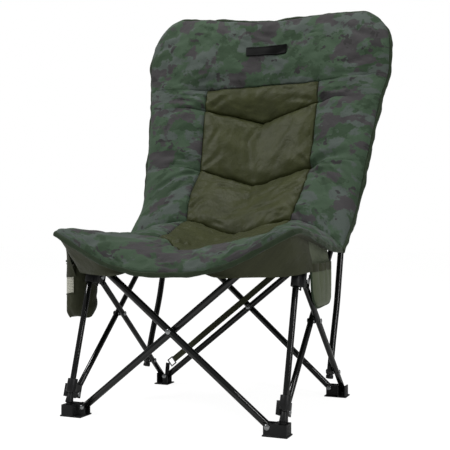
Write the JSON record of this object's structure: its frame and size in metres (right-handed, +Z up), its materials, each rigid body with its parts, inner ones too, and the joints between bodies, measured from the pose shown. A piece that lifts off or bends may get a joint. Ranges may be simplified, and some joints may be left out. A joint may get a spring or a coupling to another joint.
{
  "type": "carp fishing chair",
  "caption": "Folding carp fishing chair with a black crossed tube frame, moulded feet and a padded camouflage cover with an olive centre panel and side pockets",
  "frame": {"origin": "on the floor, under the middle of the chair's bounding box", "axes": "+X across the chair to the side of the flat pocket, +Y from front to back, +Z up"},
  "size_m": [0.7216, 0.6938, 1.0498],
  "materials": {
    "painted_tube": "semi-gloss black powder coat",
    "black_plastic": "moulded",
    "plated_steel": "zinc plated",
    "camouflage_fabric": "printed polyester, quilted",
    "olive_fabric": "woven polyester"
  },
  "bodies": {
    "front_left_foot": {"front_left_foot": "black_plastic", "front_left_foot_rivet": "plated_steel"},
    "front_tube_left": {"front_cross_tube_left": "painted_tube", "front_cross_tube_left_cap": "black_plastic", "front_crossing_rivet": "plated_steel"},
    "front_tube_right": {"front_cross_tube_right": "painted_tube", "front_cross_tube_right_cap": "black_plastic"},
    "front_right_foot": {"front_right_foot": "black_plastic", "front_right_foot_rivet": "plated_steel"},
    "rear_tube_left": {"rear_cross_tube_left": "painted_tube", "rear_cross_tube_left_top_rivet": "plated_steel", "rear_crossing_rivet": "plated_steel", "rear_strap": "olive_fabric"},
    "rear_tube_right": {"rear_cross_tube_right": "painted_tube", "rear_cross_tube_right_top_rivet": "plated_steel"},
    "seat_cover": {"seat_pad": "camouflage_fabric", "right_front_flap": "olive_fabric", "left_front_flap": "olive_fabric"},
    "left_post": {"left_front_post": "painted_tube", "left_post_stem": "black_plastic", "left_knuckle": "black_plastic", "left_knuckle_rivet": "plated_steel"},
    "left_front_hub": {"left_front_hub": "black_plastic", "left_bottle_pocket": "olive_fabric"},
    "left_stay": {"left_back_stay": "painted_tube", "left_crossing_rivet": "plated_steel", "left_back_stay_rivet": "plated_steel"},
    "left_leg": {"left_rear_leg": "painted_tube", "left_rear_leg_rivet": "plated_steel"},
    "rear_left_foot": {"rear_left_foot": "black_plastic", "rear_left_foot_rivet": "plated_steel", "strap_ring": "plated_steel"},
    "left_pole": {"left_back_pole": "painted_tube", "left_back_pole_rivet": "plated_steel", "left_back_pole_cap": "black_plastic", "left_pole_sleeve": "olive_fabric", "back_pad": "camouflage_fabric"},
    "left_rear_hub": {"left_rear_hub": "black_plastic"},
    "right_post": {"right_front_post": "painted_tube", "right_post_stem": "black_plastic", "right_knuckle": "black_plastic", "right_knuckle_rivet": "plated_steel"},
    "right_front_hub": {"right_front_hub": "black_plastic", "right_side_pocket": "olive_fabric"},
    "right_stay": {"right_back_stay": "painted_tube", "right_crossing_rivet": "plated_steel", "right_back_stay_rivet": "plated_steel"},
    "right_leg": {"right_rear_leg": "painted_tube", "right_rear_leg_rivet": "plated_steel"},
    "rear_right_foot": {"rear_right_foot": "black_plastic", "rear_right_foot_rivet": "plated_steel"},
    "right_pole": {"right_back_pole": "painted_tube", "right_back_pole_rivet": "plated_steel", "right_back_pole_cap": "black_plastic", "right_pole_sleeve": "olive_fabric"},
    "right_rear_hub": {"right_rear_hub": "black_plastic"}
  },
  "joints": [
    {"name": "fold", "type": "hinge", "parent": "front_left_foot", "child": "front_tube_left", "pos_m": [-0.2251, -0.2983, 0.0187], "axis": [0, -1, 0], "range_deg": [0, 32], "deforming": ["seat_pad", "back_pad", "right_front_flap", "left_front_flap"]},
    {"name": "front_crossing", "type": "hinge", "parent": "front_tube_left", "child": "front_tube_right", "pos_m": [0, -0.3072, 0.201], "axis": [0, -1, 0], "range_deg": [-64.01, 0]},
    {"name": "front_right_foot_turn", "type": "hinge", "parent": "front_tube_right", "child": "front_right_foot", "pos_m": [0.2251, -0.3161, 0.0187], "axis": [0, -1, 0], "range_deg": [0, 32.01]},
    {"name": "seat_rise", "type": "slide", "parent": "front_left_foot", "child": "seat_cover", "axis": [0, 0, 1], "range_m": [0, 0.18465]},
    {"name": "left_post_tilt", "type": "hinge", "parent": "front_left_foot", "child": "left_post", "pos_m": [-0.256, -0.3161, 0.02], "axis": [1, 0, 0], "range_deg": [0, 12.89]},
    {"name": "left_post_slide", "type": "slide", "parent": "left_post", "child": "left_front_hub", "axis": [0, 0.2965, 0.955], "range_m": [0, 0.10125]},
    {"name": "left_knuckle_turn", "type": "hinge", "parent": "left_post", "child": "left_stay", "pos_m": [-0.2646, -0.276, 0.0411], "axis": [1, 0, 0], "range_deg": [0, 16.97]},
    {"name": "left_side_crossing", "type": "hinge", "parent": "left_stay", "child": "left_leg", "pos_m": [-0.256, -0.0881, 0.212], "axis": [1, 0, 0], "range_deg": [-56.91, 0]},
    {"name": "rear_left_foot_turn", "type": "hinge", "parent": "left_leg", "child": "rear_left_foot", "pos_m": [-0.248, 0.1319, 0.022], "axis": [1, 0, 0], "range_deg": [0, 34.17]},
    {"name": "left_pole_turn", "type": "hinge", "parent": "left_leg", "child": "left_pole", "pos_m": [-0.256, 0.0751, 0.0711], "axis": [1, 0, 0], "range_deg": [0, 40.08]},
    {"name": "left_rear_hub_slide", "type": "slide", "parent": "left_pole", "child": "left_rear_hub", "axis": [0, 0.2965, 0.955], "range_m": [0, 0.14824]},
    {"name": "right_post_tilt", "type": "hinge", "parent": "front_right_foot", "child": "right_post", "pos_m": [0.256, -0.3161, 0.02], "axis": [1, 0, 0], "range_deg": [0, 12.89]},
    {"name": "right_post_slide", "type": "slide", "parent": "right_post", "child": "right_front_hub", "axis": [0, 0.2965, 0.955], "range_m": [0, 0.10125]},
    {"name": "right_knuckle_turn", "type": "hinge", "parent": "right_post", "child": "right_stay", "pos_m": [0.2474, -0.276, 0.0411], "axis": [1, 0, 0], "range_deg": [0, 16.97]},
    {"name": "right_side_crossing", "type": "hinge", "parent": "right_stay", "child": "right_leg", "pos_m": [0.256, -0.0881, 0.212], "axis": [1, 0, 0], "range_deg": [-56.91, 0]},
    {"name": "rear_right_foot_turn", "type": "hinge", "parent": "right_leg", "child": "rear_right_foot", "pos_m": [0.264, 0.1319, 0.022], "axis": [1, 0, 0], "range_deg": [0, 34.17]},
    {"name": "right_pole_turn", "type": "hinge", "parent": "right_leg", "child": "right_pole", "pos_m": [0.256, 0.0751, 0.0711], "axis": [1, 0, 0], "range_deg": [0, 40.08]},
    {"name": "right_rear_hub_slide", "type": "slide", "parent": "right_pole", "child": "right_rear_hub", "axis": [0, 0.2965, 0.955], "range_m": [0, 0.14824]},
    {"name": "rear_tube_left_turn", "type": "hinge", "parent": "rear_left_foot", "child": "rear_tube_left", "pos_m": [-0.2305, 0.1243, 0.021], "axis": [0, -0.9854, 0.1702], "range_deg": [0, 30.21]},
    {"name": "rear_tube_right_turn", "type": "hinge", "parent": "rear_right_foot", "child": "rear_tube_right", "pos_m": [0.2305, 0.1416, 0.018], "axis": [0, -0.9854, 0.1702], "range_deg": [-30.21, 0]}
  ],
  "couplings": [
    {"joint": "front_crossing", "follows": "fold", "ratio": -2},
    {"joint": "front_right_foot_turn", "follows": "fold", "ratio": 1},
    {"joint": "seat_rise", "follows": "fold", "m_per_rad": 0.33053},
    {"joint": "left_post_tilt", "follows": "fold", "ratio": 0.40263},
    {"joint": "left_post_slide", "follows": "fold", "m_per_rad": 0.1812},
    {"joint": "left_knuckle_turn", "follows": "fold", "ratio": 0.53013},
    {"joint": "left_side_crossing", "follows": "fold", "ratio": -1.7781},
    {"joint": "rear_left_foot_turn", "follows": "fold", "ratio": 1.0676},
    {"joint": "left_pole_turn", "follows": "fold", "ratio": 1.2521},
    {"joint": "left_rear_hub_slide", "follows": "fold", "m_per_rad": 0.26532},
    {"joint": "right_post_tilt", "follows": "fold", "ratio": 0.40263},
    {"joint": "right_post_slide", "follows": "fold", "m_per_rad": 0.1812},
    {"joint": "right_knuckle_turn", "follows": "fold", "ratio": 0.53013},
    {"joint": "right_side_crossing", "follows": "fold", "ratio": -1.7781},
    {"joint": "rear_right_foot_turn", "follows": "fold", "ratio": 1.0676},
    {"joint": "right_pole_turn", "follows": "fold", "ratio": 1.2521},
    {"joint": "right_rear_hub_slide", "follows": "fold", "m_per_rad": 0.26532},
    {"joint": "rear_tube_left_turn", "follows": "fold", "ratio": 0.94392},
    {"joint": "rear_tube_right_turn", "follows": "fold", "ratio": -0.94392}
  ]
}
